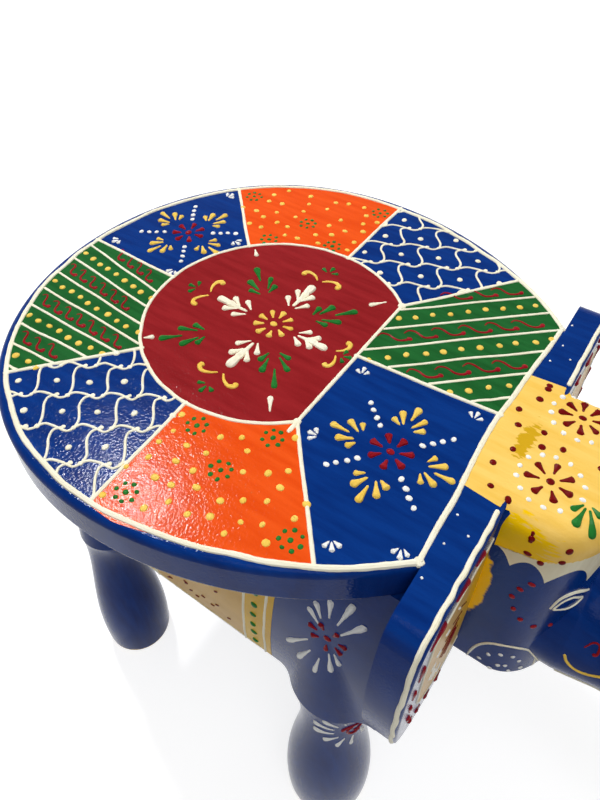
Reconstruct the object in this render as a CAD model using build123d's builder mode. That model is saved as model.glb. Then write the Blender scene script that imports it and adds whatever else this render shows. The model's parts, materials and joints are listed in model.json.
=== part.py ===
"""Carved elephant stool: a round seat board on the back of a small wooden elephant.

The elephant faces +X, its left side is +Y, and it stands on Z = 0. The origin is on
the floor, in the middle of the whole object's footprint. All sizes are millimetres.
"""

import os
from math import cos, pi, sin

from build123d import *

# Overall sizes
stool_height = 305.0  # floor to seat
seat_radius = 140.0  # mean radius of the sawn seat edge
trunk_reach = 291.0  # from the seat's centre to the foremost point of the trunk

# Seat board
seat_thickness = 20.0
seat_front = 121.0  # from the seat's centre to its straight front edge
seat_pear = 0.0265  # share of the radius added ahead and lost behind
seat_oval = 0.0364  # share added ahead and behind, and lost at the sides
seat_corner = 0.0245  # share that fills out the front corners
seat_edge_points = 24
seat_top_round = 3.0
seat_bottom_round = 1.5

# Ear plank
plank_thickness = 16.0
plank_depth = 130.0
plank_half_top = 106.0
plank_half_width = 113.7
plank_widest_drop = 40.0  # drops are measured down from the seat
lobe_half_width = 110.5
lobe_drop = 86.0
lobe_curve = (88.0, 114.0)  # half width and drop in the middle of the lobe's curve
ear_tip_half_width = 60.0
ear_top_round = 12.0
lobe_round = 9.0
plank_edge_round = 1.5

# Head
head_half_width = 40.5
cheek_length = 17.0  # straight part of each cheek, ahead of the ear plank
brow_depth = 27.0  # how far the rounded brow stands ahead of the cheeks
head_top_round = 9.0
jaw_round = 5.0

# Trunk
root_width = 68.0
root_height = 68.0
root_drop = 95.0
root_inlet = 14.0  # how deep the trunk's root is let into the brow
tip_size = 19.0
trunk_taper = 1.2  # above 1, the trunk thins faster near its root
trunk_sections = 12
bend = (30.0, 99.0)  # points of its middle line: how far ahead of the brow, and drop
knuckle = (56.0, 124.0)
shin = (62.0, 166.0)
curl = (68.0, 204.0)
curl_front = (82.0, 223.0)
tip_drop = 222.0
tip_angle = 35.0  # how steeply the tip points up

# Torso
belly_height = 147.0  # floor to belly
torso_rear = 105.0  # from the seat's centre back to the rump
belly_half_width = 89.0
torso_half_width = 93.0
back_half_width = 86.0
widest_height = 205.0
torso_corner_round = 38.0

# Legs, shoulders and haunches
front_foot_ahead = 93.0  # foot centres, from the seat's centre
rear_foot_behind = 87.0
foot_out = 84.0  # foot centres, from the middle plane
sole_radius = 26.5
foot_radius = 27.5
calf_radius = 25.0
ankle_radius = 19.5
foot_height = 20.0
calf_height = 62.0
ankle_height = 102.0
rear_foot_share = 0.88  # size of a rear foot against a front one
sole_round = 3.0
hip_inset = 6.0  # how much nearer the middle plane the hips stand than the feet
hip_half_width = 23.0
front_hip_half_length = 26.0
front_hip_shift = 4.0  # front hips lie this far behind their feet
rear_hip_half_length = 22.0
rear_hip_shift = 4.0  # rear hips lie this far ahead of their feet
shoulder_top_share = 0.8  # size of a shoulder's top against its hip
shoulder_lean = 10.0  # how far a shoulder leans in towards its top
shoulder_blend = 14.0  # hollow where a shoulder or haunch runs into the barrel

# Tail
tail_width = 12.0
tail_thickness = 8.0
tail_length = 92.0
tail_top_drop = 34.0
tuft_width = 22.0
tuft_length = 34.0
tail_edge_round = 2.0

# Hidden dowels and pins
glue_gap = 0.05  # radial room round a dowel and round the trunk's root
end_gap = 1.0  # room past a dowel's end
leg_dowel_radius = 7.0
leg_dowel_depth = 35.0  # in each of its two pieces
seat_dowel_radius = 5.0
seat_dowel_depth = 11.0
seat_dowel_torso_depth = 30.0
seat_dowel_spread = (120.0, 96.0)
plank_dowel_radius = 4.0
plank_dowel_depth = 9.0
plank_dowel_torso_depth = 28.0
plank_dowel_spread = (128.0, 60.0)
plank_dowel_drop = 72.0
neck_dowel_radius = 6.0
neck_dowel_head_depth = 16.0
neck_dowel_torso_depth = 45.0
neck_dowel_spacing = 46.0
neck_dowel_drop = 74.0
trunk_dowel_radius = 6.0
trunk_dowel_depth = 22.0  # in each of its two pieces
tail_pin_radius = 0.9
tail_pin_depth = 14.0  # in the torso
tail_pin_spacing = 40.0

# Where the pieces stand
seat_rear = seat_radius * (1 - seat_pear + seat_oval - seat_corner)
seat_x = (seat_rear - trunk_reach) / 2  # the seat's centre, from the origin
plank_x = seat_x + seat_front
head_x = plank_x + plank_thickness
brow_x = head_x + cheek_length + brow_depth
inlet_x = brow_x - root_inlet
rump_x = seat_x - torso_rear
seat_bottom = stool_height - seat_thickness
plank_bottom = stool_height - plank_depth
root_z = stool_height - root_drop
hip_out = foot_out - hip_inset

feet = {"front": seat_x + front_foot_ahead, "rear": seat_x - rear_foot_behind}
hips = {"front": feet["front"] - front_hip_shift, "rear": feet["rear"] + rear_hip_shift}
hip_half_lengths = {"front": front_hip_half_length, "rear": rear_hip_half_length}
foot_shares = {"front": 1.0, "rear": rear_foot_share}
sides = {"right": -1, "left": 1}
hip_places = [(x, side * hip_out) for x in hips.values() for side in sides.values()]


def seat_edge(angle):
    """Point of the sawn seat edge, at an angle from straight ahead."""
    share = seat_pear * cos(angle) + seat_oval * cos(2 * angle) + seat_corner * cos(3 * angle)
    radius = seat_radius * (1 + share)
    return (seat_x + radius * cos(angle), radius * sin(angle))


def drill(radius, depth, plane):
    """Blind dowel hole in the current piece, into the face that the plane lies on."""
    with Locations(plane):
        Hole(radius + glue_gap, depth + end_gap)


def dowel(radius, start, direction, length):
    """Round dowel from a start point along a direction, added to the current piece."""
    with Locations(Plane(origin=start, z_dir=direction)):
        Cylinder(radius, length, align=(Align.CENTER, Align.CENTER, Align.MIN))


def oval(centre, height, half_length, half_width):
    """Level oval at a height, as a section to loft from."""
    with BuildSketch(Plane.XY.offset(height)) as section:
        with Locations(centre):
            Ellipse(half_length, half_width)
    return section.sketch


# Places of the hidden dowels, each on the joint between its two pieces
seat_dowel_places = [
    (seat_x + sx * seat_dowel_spread[0] / 2, sy * seat_dowel_spread[1] / 2, seat_bottom)
    for sx in (-1, 1)
    for sy in (-1, 1)
]
leg_dowel_places = [(x, y, belly_height) for x, y in hip_places]
plank_dowel_places = [
    (
        plank_x,
        sy * plank_dowel_spread[0] / 2,
        stool_height - plank_dowel_drop + sz * plank_dowel_spread[1] / 2,
    )
    for sy in (-1, 1)
    for sz in (-1, 1)
]
neck_dowel_places = [
    (plank_x, side * neck_dowel_spacing / 2, stool_height - neck_dowel_drop) for side in (-1, 1)
]
trunk_dowel_place = (inlet_x, 0, root_z)
tail_pin_places = [
    (rump_x, 0, stool_height - tail_top_drop - tail_width - row * tail_pin_spacing)
    for row in (0, 1)
]

# The seat board: sawn round, then cut off straight where the ear plank stands
with BuildPart() as seat_board:
    with BuildSketch(Plane.XY.offset(seat_bottom)):
        with BuildLine():
            steps = range(seat_edge_points)
            Spline(*[seat_edge(2 * pi * step / seat_edge_points) for step in steps], periodic=True)
        make_face()
        split(bisect_by=Plane.YZ.offset(plank_x), keep=Keep.BOTTOM)
    extrude(amount=seat_thickness)
    rims = seat_board.edges().filter_by(GeomType.BSPLINE)
    fillet(rims.group_by(Axis.Z)[-1], seat_top_round)
    rims = seat_board.edges().filter_by(GeomType.BSPLINE)
    fillet(rims.group_by(Axis.Z)[0], seat_bottom_round)
    for place in seat_dowel_places:
        drill(seat_dowel_radius, seat_dowel_depth, Plane(origin=place, z_dir=(0, 0, -1)))
seat_board.part.label = "seat_board"

# The ear plank: one board behind the head, sawn to the outline of both ears
with BuildPart() as ear_plank:
    with BuildSketch(Plane.YZ.offset(plank_x)) as ear_outline:
        with BuildLine():
            top = Line((0, stool_height), (plank_half_top, stool_height))
            side_middle = (plank_half_width, stool_height - plank_widest_drop)
            side_end = (lobe_half_width, stool_height - lobe_drop)
            ear_side = ThreePointArc(top @ 1, side_middle, side_end)
            lobe_middle = (lobe_curve[0], stool_height - lobe_curve[1])
            lobe = ThreePointArc(ear_side @ 1, lobe_middle, (ear_tip_half_width, plank_bottom))
            Line(lobe @ 1, (0, plank_bottom))
            mirror(about=Plane.YZ)
        make_face()
        fillet(ear_outline.vertices().group_by(Axis.Y)[-1], ear_top_round)
        lobe_corners = ear_outline.vertices().filter_by(lambda v: abs(v.Y - side_end[1]) < 0.01)
        fillet(lobe_corners, lobe_round)
        fillet(ear_outline.vertices().group_by(Axis.Y)[0], lobe_round)
    extrude(amount=plank_thickness)
    front_edges = ear_plank.faces().sort_by(Axis.X)[-1].edges()
    fillet(front_edges.group_by(Axis.Z)[:-1], plank_edge_round)
    for place in plank_dowel_places:
        drill(plank_dowel_radius, plank_dowel_depth, Plane(origin=place, z_dir=(-1, 0, 0)))
    for place in neck_dowel_places:
        with Locations(Plane(origin=place, z_dir=(-1, 0, 0))):
            Hole(neck_dowel_radius + glue_gap)
ear_plank.part.label = "ear_plank"

# The head: a block with straight cheeks and a rounded brow, let in for the trunk
with BuildPart() as head:
    with BuildSketch(Plane.XY.offset(plank_bottom)):
        with BuildLine():
            cheek = Line((head_x, head_half_width), (head_x + cheek_length, head_half_width))
            brow_centre = (head_x + cheek_length, 0)
            EllipticalCenterArc(brow_centre, brow_depth, head_half_width, arc_size=90)
            mirror(about=Plane.XZ)
            Line(cheek @ 0, (head_x, -head_half_width))
        make_face()
    extrude(amount=plank_depth)
    for rim, radius in ((-1, head_top_round), (0, jaw_round)):
        rim_edges = head.edges().group_by(Axis.Z)[rim]
        fillet(rim_edges.sort_by(Axis.X)[1:], radius)
    with BuildSketch(Plane.YZ.offset(inlet_x)):
        with Locations((0, root_z)):
            Ellipse(root_width / 2 + glue_gap, root_height / 2 + glue_gap)
    extrude(amount=root_inlet, mode=Mode.SUBTRACT)
    for place in neck_dowel_places:
        neck_seat = Plane(origin=(head_x, *place[1:]), z_dir=(-1, 0, 0))
        drill(neck_dowel_radius, neck_dowel_head_depth, neck_seat)
    drill(trunk_dowel_radius, trunk_dowel_depth, Plane(origin=trunk_dowel_place, z_dir=(1, 0, 0)))
head.part.label = "head"

# The trunk: a straight root in the brow, then a taper that bends down and curls up
with BuildPart() as trunk:
    with BuildSketch(Plane.YZ.offset(inlet_x)):
        with Locations((0, root_z)):
            Ellipse(root_width / 2, root_height / 2)
    extrude(amount=root_inlet)
    with BuildLine(Plane.XZ) as middle:
        tip_x = seat_x + trunk_reach - tip_size / 2
        drops = ((0, root_drop), bend, knuckle, shin, curl, curl_front)
        points = [(brow_x + ahead, stool_height - drop) for ahead, drop in drops]
        points.append((tip_x, stool_height - tip_drop))
        Spline(*points, tangents=((1, 0), (cos(tip_angle * pi / 180), sin(tip_angle * pi / 180))))
    line = middle.line
    for step in range(trunk_sections + 1):
        share = step / trunk_sections
        left = (1 - share) ** trunk_taper
        width = tip_size + (root_width - tip_size) * left
        height = tip_size + (root_height - tip_size) * left
        with BuildSketch(Plane(origin=line @ share, x_dir=(0, 1, 0), z_dir=line % share)):
            Ellipse(width / 2, height / 2)
    loft()
    with Locations(Plane(origin=line @ 1, z_dir=line % 1)):
        Sphere(tip_size / 2, arc_size1=0, align=(Align.CENTER, Align.CENTER, Align.MIN))
    drill(trunk_dowel_radius, trunk_dowel_depth, Plane(origin=trunk_dowel_place, z_dir=(-1, 0, 0)))
trunk.part.label = "trunk"

# The torso: a barrel with a shoulder or haunch over each leg
with BuildPart() as torso:
    barrel_end = plank_x + torso_corner_round
    for height, half_width in (
        (belly_height, belly_half_width),
        (widest_height, torso_half_width),
        (seat_bottom, back_half_width),
    ):
        with BuildSketch(Plane.XY.offset(height)):
            with Locations(((barrel_end + rump_x) / 2, 0)):
                RectangleRounded(barrel_end - rump_x, 2 * half_width, torso_corner_round)
    loft()
    split(bisect_by=Plane.YZ.offset(plank_x), keep=Keep.BOTTOM)
    for end in hips:
        for side in sides.values():
            hip_half_length = hip_half_lengths[end]
            hip = oval((hips[end], side * hip_out), belly_height, hip_half_length, hip_half_width)
            top_centre = (hips[end], side * (hip_out - shoulder_lean))
            top_half_length = hip_half_length * shoulder_top_share
            top_half_width = hip_half_width * shoulder_top_share
            loft([hip, oval(top_centre, seat_bottom, top_half_length, top_half_width)])
            fillet(torso.edges(Select.NEW), shoulder_blend)
    for place in seat_dowel_places:
        drill(seat_dowel_radius, seat_dowel_torso_depth, Plane(origin=place))
    for place in leg_dowel_places:
        drill(leg_dowel_radius, leg_dowel_depth, Plane(origin=place, z_dir=(0, 0, -1)))
    for place in plank_dowel_places:
        drill(plank_dowel_radius, plank_dowel_torso_depth, Plane(origin=place, z_dir=(1, 0, 0)))
    for place in neck_dowel_places:
        drill(neck_dowel_radius, neck_dowel_torso_depth, Plane(origin=place, z_dir=(1, 0, 0)))
    for place in tail_pin_places:
        drill(tail_pin_radius, tail_pin_depth, Plane(origin=place, z_dir=(-1, 0, 0)))
torso.part.label = "torso"

# The tail: a flat strip with a tuft, on the rump
with BuildPart() as tail:
    with BuildSketch(Plane.YZ.offset(rump_x)):
        tail_top = stool_height - tail_top_drop
        with Locations((0, tail_top - tail_length / 2)):
            SlotOverall(tail_length, tail_width, rotation=90)
        with Locations((0, tail_top - tail_length + tuft_length / 2)):
            Ellipse(tuft_width / 2, tuft_length / 2)
    extrude(amount=-tail_thickness)
    fillet(tail.faces().sort_by(Axis.X)[0].edges(), tail_edge_round)
    for place in tail_pin_places:
        with Locations(Plane(origin=place, z_dir=(-1, 0, 0))):
            Hole(tail_pin_radius + glue_gap)
tail.part.label = "tail"

pieces = [seat_board.part, ear_plank.part, head.part, trunk.part, torso.part, tail.part]

# The legs: round, with a waist at the ankle, flaring into the hips
for end, foot_x in feet.items():
    for name, side in sides.items():
        foot = (foot_x, side * foot_out)
        size = foot_shares[end]
        rings = (
            (0, sole_radius),
            (foot_height, foot_radius),
            (calf_height, calf_radius),
            (ankle_height, ankle_radius),
        )
        hip = (hips[end], side * hip_out)
        sections = [oval(foot, height, radius * size, radius * size) for height, radius in rings]
        sections.append(oval(hip, belly_height, hip_half_lengths[end], hip_half_width))
        with BuildPart() as leg:
            loft(sections)
            fillet(leg.edges().group_by(Axis.Z)[0], sole_round)
            drill(leg_dowel_radius, leg_dowel_depth, Plane(origin=(*hip, belly_height)))
        leg.part.label = f"{end}_{name}_leg"
        pieces.append(leg.part)

# The hidden dowels, and the two nails in the tail
with BuildPart() as seat_dowels:
    for x, y, z in seat_dowel_places:
        length = seat_dowel_torso_depth + seat_dowel_depth
        dowel(seat_dowel_radius, (x, y, z - seat_dowel_torso_depth), (0, 0, 1), length)
seat_dowels.part.label = "seat_dowels"

with BuildPart() as leg_dowels:
    for x, y, z in leg_dowel_places:
        dowel(leg_dowel_radius, (x, y, z - leg_dowel_depth), (0, 0, 1), 2 * leg_dowel_depth)
leg_dowels.part.label = "leg_dowels"

with BuildPart() as plank_dowels:
    for x, y, z in plank_dowel_places:
        length = plank_dowel_torso_depth + plank_dowel_depth
        dowel(plank_dowel_radius, (x - plank_dowel_torso_depth, y, z), (1, 0, 0), length)
plank_dowels.part.label = "plank_dowels"

with BuildPart() as neck_dowels:
    for x, y, z in neck_dowel_places:
        length = neck_dowel_torso_depth + plank_thickness + neck_dowel_head_depth
        dowel(neck_dowel_radius, (x - neck_dowel_torso_depth, y, z), (1, 0, 0), length)
neck_dowels.part.label = "neck_dowels"

with BuildPart() as trunk_dowel:
    start = (inlet_x - trunk_dowel_depth, 0, root_z)
    dowel(trunk_dowel_radius, start, (1, 0, 0), 2 * trunk_dowel_depth)
trunk_dowel.part.label = "trunk_dowel"

with BuildPart() as tail_pins:
    for x, y, z in tail_pin_places:
        dowel(tail_pin_radius, (x - tail_thickness, y, z), (1, 0, 0), tail_thickness + tail_pin_depth)
tail_pins.part.label = "tail_pins"

pieces += [seat_dowels.part, leg_dowels.part, plank_dowels.part, neck_dowels.part]
pieces += [trunk_dowel.part, tail_pins.part]

os.makedirs("parts", exist_ok=True)
for piece in pieces:
    export_step(piece, f"parts/{piece.label}.step")
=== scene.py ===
# %% [markdown]
# # A hand-painted elephant stool
# A small elephant carries a round seat on its back. The maker saws and turns the wood, primes it,
# brushes on coloured enamel, and then pipes raised lines and drops of thick paste from a paper cone.
# The wood comes ready from the CAD frame. This notebook first sets up a camera and a small studio to
# look at it in, and then gives it its paint: thin coats of colour, and raised piping on top of them.

# %% Load the wooden frame
import json
import random
from math import acos, atan2, ceil, cos, degrees, hypot, pi, radians, sin, tan

import bmesh
import bpy
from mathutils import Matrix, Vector
from mathutils.bvhtree import BVHTree


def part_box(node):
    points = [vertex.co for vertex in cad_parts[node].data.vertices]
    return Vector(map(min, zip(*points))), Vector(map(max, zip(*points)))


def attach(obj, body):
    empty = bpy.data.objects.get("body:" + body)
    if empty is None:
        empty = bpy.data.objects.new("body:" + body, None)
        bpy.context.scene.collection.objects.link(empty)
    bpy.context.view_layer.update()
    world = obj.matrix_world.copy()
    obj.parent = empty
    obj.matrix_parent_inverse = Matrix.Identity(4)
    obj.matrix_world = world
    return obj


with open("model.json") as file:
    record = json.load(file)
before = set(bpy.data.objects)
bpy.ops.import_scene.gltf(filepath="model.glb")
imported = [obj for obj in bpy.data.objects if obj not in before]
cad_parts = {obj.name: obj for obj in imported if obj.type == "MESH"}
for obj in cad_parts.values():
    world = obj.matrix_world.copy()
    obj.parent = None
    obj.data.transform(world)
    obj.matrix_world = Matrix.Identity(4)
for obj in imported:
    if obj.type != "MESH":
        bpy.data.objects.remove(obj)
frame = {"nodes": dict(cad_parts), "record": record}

bpy.context.view_layer.update()
mounts = {mount["name"]: mount for mount in frame["record"]["mounts"]}
seat_x = mounts["seat_top"]["pos_m"][0]
seat_top = mounts["seat_top"]["pos_m"][2]
mm = 0.001
sides = {"right": -1, "left": 1}
hand = random.Random(11)
print("wooden pieces:", ", ".join(sorted(frame["nodes"])))

# %% [markdown]
# ## The camera
# A camera that looks down on a seat is easiest to place by the seat itself. Its position is given
# from the middle of the seat, and its aim as a direction, so the view stays the same if the stool
# gets taller. The small shift slides the picture plane without tilting it, as a view camera does.

# %% Place the camera
camera_from_seat = Vector((0.1544, -0.2053, 0.2292))
camera_aim = Vector((-0.414, 0.594, -0.690))
sensor_width = 36.0
picture_height = 800
focal_pixels = 670.6
shift_pixels = -55

camera_data = bpy.data.cameras.new("camera")
camera_data.sensor_width = sensor_width
camera_data.lens = focal_pixels / picture_height * sensor_width
camera_data.shift_y = shift_pixels / picture_height
camera_data.clip_start = 0.01
camera = bpy.data.objects.new("camera", camera_data)
camera.location = Vector((seat_x, 0, seat_top)) + camera_from_seat
camera.rotation_mode = "QUATERNION"
camera.rotation_quaternion = camera_aim.to_track_quat("-Z", "Y")
scene = bpy.context.scene
scene.collection.objects.link(camera)
scene.camera = camera
print("lens", round(camera_data.lens, 1), "mm")

# %% [markdown]
# ## Nodes
# Materials, the world and the piping are all built from nodes. Blender's own calls take a line for
# each node, each number and each link, so three helpers shorten them: one adds a node and fills its
# inputs, one does arithmetic, and one maps a range of a value onto another range.

# %% Add nodes


def add(tree, kind, inputs=(), **settings):
    """New node; each input, by name or number, gets a value or a link from another node's output."""
    node = tree.nodes.new(kind)
    for name, value in settings.items():
        setattr(node, name, value)
    for name, value in dict(inputs).items():
        if isinstance(value, bpy.types.NodeSocket):
            tree.links.new(value, node.inputs[name])
        else:
            node.inputs[name].default_value = value
    return node


def maths(tree, operation, *values, kind="ShaderNodeMath"):
    """Result of an operation on numbers or sockets."""
    node = add(tree, kind, enumerate(values), operation=operation)
    return next(socket for socket in node.outputs if socket.enabled)


def ramp(tree, value, low, high, start=0.0, end=1.0, shape="LINEAR"):
    """Goes from start to end while a value goes from low to high."""
    limits = {"Value": value, "From Min": low, "From Max": high, "To Min": start, "To Max": end}
    return add(tree, "ShaderNodeMapRange", limits, interpolation_type=shape).outputs[0]


def place_on(tree):
    """The piece's own coordinates, in metres."""
    return add(tree, "ShaderNodeTexCoord").outputs["Object"]


def new_material(name):
    """Material with its node tree and its shader."""
    material = bpy.data.materials.new(name)
    material.use_nodes = True
    return material, material.node_tree, material.node_tree.nodes["Principled BSDF"]


print("node helpers ready")

# %% [markdown]
# ## The studio
# Glossy paint is only as lively as what it reflects. A small window lamp stands high behind the
# stool, on its far left: mirrored in the seat, it lies on the near left of the paint, and it shows
# the orange peel there. Two large weak lamps light the rest. The floor and the world are plain and
# pale: the camera and the reflections see them as white, while the light that they throw on the
# stool stays at a plain level. The floor is a little dimmer under the stool, and the ceiling is
# dimmer than the horizon, so that the sides and the seat don't turn milky.

# %% Build the floor
floor_size = 6.0
floor_mesh = bpy.data.meshes.new("floor")
floor_corners = [(x * floor_size, y * floor_size, 0) for x, y in ((-1, -1), (1, -1), (1, 1), (-1, 1))]
floor_mesh.from_pydata(floor_corners, [], [(0, 1, 2, 3)])
floor = bpy.data.objects.new("floor", floor_mesh)
scene.collection.objects.link(floor)


def seen_strength(tree, unseen, seen):
    """Strength that is one number for the camera and for reflections, and another for all else."""
    path = add(tree, "ShaderNodeLightPath")
    total = path.outputs["Is Camera Ray"]
    for ray in ("Is Glossy Ray", "Is Transmission Ray"):
        total = maths(tree, "MAXIMUM", total, path.outputs[ray])
    return ramp(tree, total, 0, 1, unseen, seen)


floor_grey = 0.5
floor_paint, tree, shader = new_material("pale floor")
shader.inputs["Base Color"].default_value = (floor_grey, floor_grey, floor_grey, 1)
shader.inputs["Roughness"].default_value = 0.8
shader.inputs["Emission Color"].default_value = (1, 1, 1, 1)
from_middle = maths(tree, "LENGTH", place_on(tree), kind="ShaderNodeVectorMath")
floor_glow = ramp(tree, from_middle, 0.2, 2.6, start=0.75, end=1.0, shape="SMOOTHSTEP")
tree.links.new(seen_strength(tree, 0, floor_glow), shader.inputs["Emission Strength"])
floor_mesh.materials.append(floor_paint)
print("floor:", 2 * floor_size, "m wide")

# %% Light the world
world_light = 0.27
scene.world = bpy.data.worlds.new("studio")
scene.world.use_nodes = True
tree = scene.world.node_tree
background = tree.nodes["Background"]
background.inputs["Color"].default_value = (1, 1, 1, 1)
direction = add(tree, "ShaderNodeTexCoord").outputs["Generated"]
upwards = add(tree, "ShaderNodeSeparateXYZ", {0: direction}).outputs["Z"]
sky_glow = ramp(tree, upwards, 0.25, 0.6, start=1.0, end=0.3, shape="SMOOTHSTEP")
tree.links.new(seen_strength(tree, world_light, sky_glow), background.inputs["Strength"])
print("world light:", world_light)

# %% Hang the lamps


def lamp(name, place, aim, size, power):
    """Soft square lamp at a place, facing a point."""
    data = bpy.data.lights.new(name, "AREA")
    data.size = size
    data.energy = power
    made = bpy.data.objects.new(name, data)
    made.location = place
    made.rotation_mode = "QUATERNION"
    made.rotation_quaternion = (Vector(aim) - Vector(place)).to_track_quat("-Z", "Y")
    scene.collection.objects.link(made)


stool_middle = (0, 0, seat_top / 2)
window_place = (seat_x - 0.715, 0.316, seat_top + 1.176)
lamp("key", (0.5, -0.6, 1.9), stool_middle, size=1.2, power=11)
lamp("fill", (0.9, 1.1, 1.4), stool_middle, size=1.4, power=3.5)
lamp("window", window_place, (seat_x, -0.1, seat_top), size=0.13, power=12.5)
scene.view_settings.view_transform = "Standard"

# %% [markdown]
# ## Enamel
# Brushed enamel is smooth and glossy but never flat: the brush leaves faint streaks, the varnish
# dries with a fine orange-peel skin, and the colour is a little thinner here and there. One function
# mixes every enamel on the stool, because only the colour and the strength of those marks differ.
# All noise reads Object coordinates, so it lies on the piece at its real size.

# %% Mix one enamel
enamel_shine = 0.06
cloud_scale = 35
gloss_scale = 120
gloss_swing = (-0.05, 0.07)
peel_scale = 850
streak_scale = 240


def srgb(red, green, blue):
    """Linear colour from the 0 to 255 values of a colour picker."""
    return tuple(
        (c / 255 / 12.92) if c <= 10 else ((c / 255 + 0.055) / 1.055) ** 2.4 for c in (red, green, blue)
    )


def paint_noise(tree, source, scale, detail=2.0, stretch=(1, 1, 1)):
    """Noise on the piece's own coordinates; a stretch above 1 squeezes it along that axis."""
    placed = add(tree, "ShaderNodeMapping", {"Vector": source, "Scale": stretch}).outputs[0]
    inputs = {"Vector": placed, "Scale": scale, "Detail": detail}
    return add(tree, "ShaderNodeTexNoise", inputs).outputs["Fac"]


def blend_colours(tree, factor, below, above):
    """Colour between two colours; each is a socket or four numbers."""
    inputs = {"Factor": factor, "A": below, "B": above}
    return add(tree, "ShaderNodeMix", inputs, data_type="RGBA").outputs["Result"]


def enamel(name, colour, shade, roughness=0.11, peel=0.11, streak=0.018, brush=(1, 7, 1)):
    """Gloss enamel between two near colours; peel and streak are heights in millimetres."""
    material, tree, shader = new_material(name)
    shader.inputs["Specular IOR Level"].default_value = enamel_shine
    place = place_on(tree)
    cloudy = ramp(tree, paint_noise(tree, place, cloud_scale, 4, brush), 0.35, 0.7)
    tree.links.new(blend_colours(tree, cloudy, (*colour, 1), (*shade, 1)), shader.inputs["Base Color"])
    smooth, dull = (roughness + swing for swing in gloss_swing)
    gloss = ramp(tree, paint_noise(tree, place, gloss_scale, 3), 0, 1, smooth, dull)
    tree.links.new(gloss, shader.inputs["Roughness"])
    peel_height = paint_noise(tree, place, peel_scale, 1)
    streak_height = paint_noise(tree, place, streak_scale, 2, brush)
    peeled = add(tree, "ShaderNodeBump", {"Distance": peel * mm, "Height": peel_height}).outputs[0]
    marks = {"Distance": streak * mm, "Height": streak_height, "Normal": peeled}
    tree.links.new(add(tree, "ShaderNodeBump", marks).outputs[0], shader.inputs["Normal"])
    return material


print("orange peel every", round(1 / peel_scale / mm, 1), "mm")

# %% [markdown]
# The brush sometimes left a second colour in one place, and handling rubs the feet. The mustard down
# the side of the yellow cap is painted shade, where the cap turns down away from the light. Such a
# patch is a soft ellipse round a point, with an edge made ragged by brush noise. Left and right are
# alike, so it reads the distance from the middle plane.

# %% Add a brushed patch
seat_centre = Vector((seat_x, 0, seat_top))
ragged_scale = 160
edge_softness = 0.08


def spot(ahead, left, drop):
    """Point in metres, from millimetres ahead of the seat's centre, to its left and below its top."""
    return seat_centre + Vector((ahead, left, -drop)) * mm


def brushed_patch(material, colour, middle, reach, ragged=0.9, brush=(1, 1, 1)):
    """Lays a colour over a material inside an ellipsoid, with a ragged edge, on both sides."""
    tree = material.node_tree
    base = tree.nodes["Principled BSDF"].inputs["Base Color"]
    place = place_on(tree)
    parts = add(tree, "ShaderNodeSeparateXYZ", {0: place}).outputs
    aside = maths(tree, "ABSOLUTE", parts["Y"])
    folded = add(tree, "ShaderNodeCombineXYZ", {0: parts["X"], 1: aside, 2: parts["Z"]}).outputs[0]
    value, size = folded, [length * mm for length in reach]
    for operation, *other in (("SUBTRACT", middle), ("DIVIDE", size), ("LENGTH",)):
        value = maths(tree, operation, value, *other, kind="ShaderNodeVectorMath")
    noise = paint_noise(tree, place, ragged_scale, 4, brush)
    edge = maths(tree, "MULTIPLY_ADD", noise, ragged * 2, value)
    border_at = 1 + ragged
    mask = ramp(tree, edge, border_at + edge_softness, border_at - edge_softness)
    painted = blend_colours(tree, mask, base.links[0].from_socket, (*colour, 1))
    tree.links.new(painted, base)


print("patches have a grain of", round(1 / ragged_scale / mm, 1), "mm")

# %% Mix the colours of the coats
blue = enamel("blue enamel", srgb(8, 54, 130), srgb(4, 42, 112))
maroon = enamel("maroon enamel", srgb(150, 34, 38), srgb(134, 26, 30))
orange = enamel("orange enamel", srgb(240, 88, 26), srgb(228, 74, 14))
green = enamel("green enamel", srgb(34, 102, 48), srgb(26, 86, 38))
cap_yellow = enamel("cap yellow enamel", srgb(254, 212, 112), srgb(246, 198, 88), 0.22)
ochre = enamel("ochre enamel", srgb(222, 178, 92), srgb(206, 158, 66), 0.3)
saddle_yellow = enamel("saddle yellow enamel", srgb(232, 186, 34), srgb(214, 162, 16), 0.3)
fringe_cream = enamel("fringe cream enamel", srgb(244, 236, 208), srgb(226, 214, 180), 0.3)
mustard = srgb(255, 204, 2)
raw_wood = srgb(206, 170, 122)
# painted shade: mustard down the side of the cap, where it turns down away from the light
brushed_patch(cap_yellow, mustard, spot(143, 41, 15), (17, 9, 15), 0.9, (1, 1, 6))
brushed_patch(cap_yellow, srgb(214, 168, 30), spot(131, 0, 0), (3.2, 11, 3), 1.5, (1, 3, 1))
brushed_patch(ochre, srgb(236, 182, 4), spot(137, 43, 58), (30, 17, 36), 0.6, (1, 1, 3))
brushed_patch(blue, raw_wood, (0, 0, 0), (4000, 4000, 3), 1.3)
brushed_patch(blue, mustard, spot(136, 41, 58), (6.2, 5, 25), 0.3, (1, 1, 2))
bare = enamel("bare wood", raw_wood, srgb(186, 148, 100), 0.6, 0.02, 0.08, (1, 12, 1))
print("enamels:", [m.name for m in bpy.data.materials if "enamel" in m.name])

# %% Mix the piping pastes
CREAM, WHITE, YELLOW = "cream paste", "white paste", "yellow paste"
CRIMSON, LEAF, OXBLOOD = "crimson paste", "leaf green paste", "oxblood paste"
for paste, colour, shade, roughness in (
    (CREAM, (255, 250, 228), (250, 243, 214), 0.38),
    (WHITE, (252, 252, 248), (244, 244, 238), 0.38),
    (YELLOW, (250, 214, 104), (244, 200, 80), 0.36),
    (CRIMSON, (158, 24, 36), (140, 14, 26), 0.24),
    (LEAF, (40, 128, 52), (28, 108, 40), 0.26),
    (OXBLOOD, (122, 14, 14), (104, 8, 10), 0.2),
):
    enamel(paste, srgb(*colour), srgb(*shade), roughness, 0.015, 0.015)
print("pastes:", [m.name for m in bpy.data.materials if "paste" in m.name])

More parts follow.
